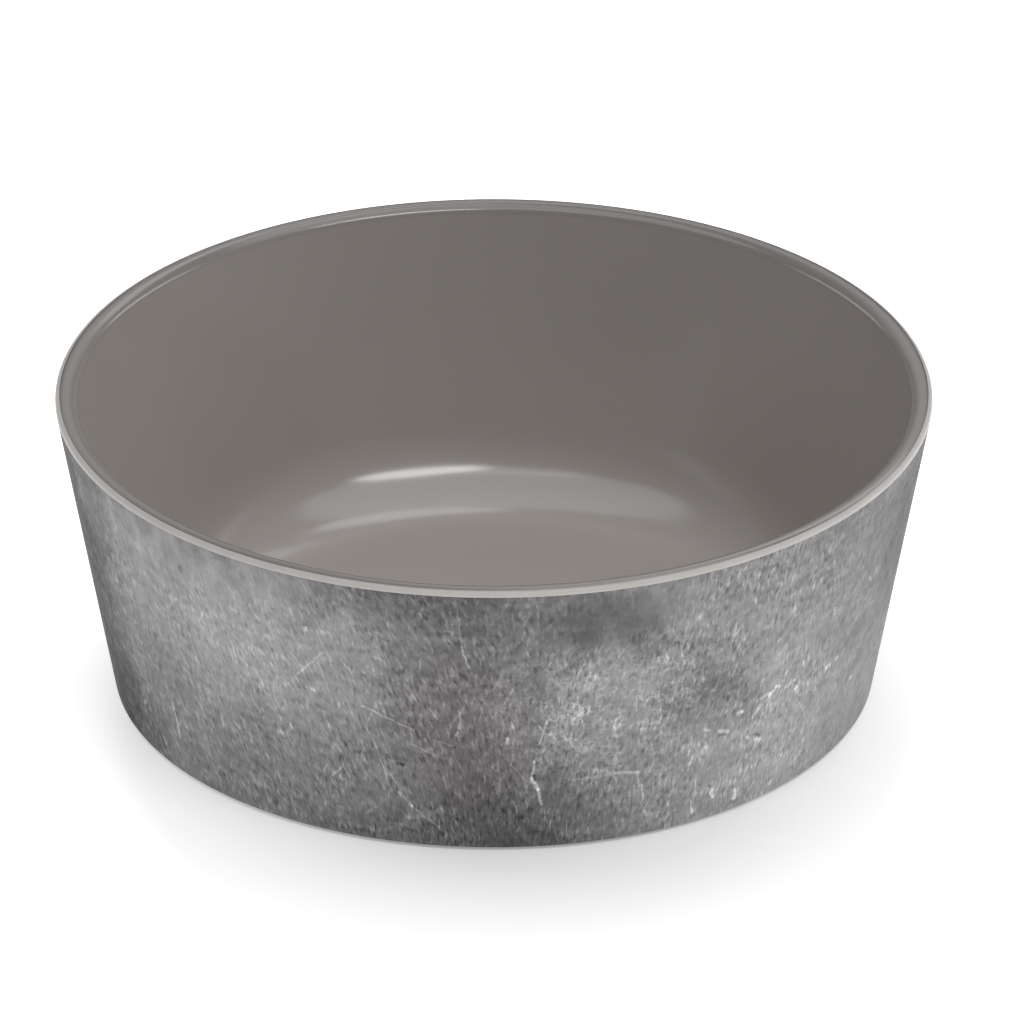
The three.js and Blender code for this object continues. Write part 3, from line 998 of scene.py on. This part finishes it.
def studio_world():
    world = bpy.data.worlds.new("studio")
    world.use_nodes = True
    tree = world.node_tree
    background = tree.nodes["Background"].inputs
    background["Color"].default_value = (1, 1, 1, 1)
    towards = place(tree, "SeparateXYZ", {0: place(tree, "TexCoord").outputs["Generated"]}).outputs
    back = calc(tree, "MULTIPLY", towards["Y"], AMBIENT_BACK)
    right = calc(tree, "MULTIPLY", towards["X"], AMBIENT_RIGHT)
    level = place(tree, "MapRange", {"Value": towards["Z"], "To Min": AMBIENT_LOW,
                                     "To Max": AMBIENT_HIGH})
    soft = calc(tree, "MULTIPLY", total(tree, [1.0, back, right]), level.outputs["Result"])
    camera = place(tree, "LightPath").outputs["Is Camera Ray"]
    behind = calc(tree, "MULTIPLY", remap(tree, towards["Y"], BACKDROP_START, BACKDROP_FULL),
                  remap(tree, towards["Z"], BACKDROP_LOW, BACKDROP_HIGH))
    white = calc(tree, "MAXIMUM", camera, calc(tree, "MULTIPLY", seen_directly(tree), behind))
    strength = place(tree, "MapRange", {"Value": white, "To Min": soft, "To Max": 1.0})
    feed(tree, background["Strength"], strength.outputs["Result"])
    bpy.context.scene.world = world


def softbox(name, towards, distance, width, height, turn, brightness):
    """Oval lamp aimed at the bowl. Its width runs along the level line at turn degrees from X."""
    lamp = bpy.data.lights.new(name, "AREA")
    lamp.shape = "ELLIPSE"
    lamp.size = width
    lamp.size_y = height
    lamp.energy = brightness * math.pi * (math.pi / 4 * width * height)
    box = bpy.data.objects.new(name, lamp)
    direction = Vector(towards).normalized()
    box.location = AIM + direction * distance
    level = Vector((math.cos(math.radians(turn)), math.sin(math.radians(turn)), 0))
    across = (level - direction * level.dot(direction)).normalized()
    axes = Matrix((across, direction.cross(across), direction))
    box.rotation_euler = axes.transposed().to_euler()
    bpy.context.scene.collection.objects.link(box)


def photo_camera():
    view = bpy.data.cameras.new("photo_camera")
    view.sensor_width = SENSOR
    view.lens = FOCAL_PIXELS / IMAGE_SIZE * SENSOR
    view.shift_x = (IMAGE_SIZE / 2 - AIM_PIXEL_X) / IMAGE_SIZE
    view.shift_y = (AIM_PIXEL_Y - IMAGE_SIZE / 2) / IMAGE_SIZE
    camera = bpy.data.objects.new("photo_camera", view)
    back = Vector((0, -math.cos(CAMERA_ELEVATION), math.sin(CAMERA_ELEVATION)))
    camera.location = AIM + back * CAMERA_DISTANCE
    camera.rotation_euler = back.to_track_quat("Z", "Y").to_euler()
    bpy.context.scene.collection.objects.link(camera)
    bpy.context.scene.camera = camera


floor_piece()
studio_world()
for lamp in LAMPS:
    softbox(*lamp)
photo_camera()
bpy.context.scene.view_settings.view_transform = "Standard"
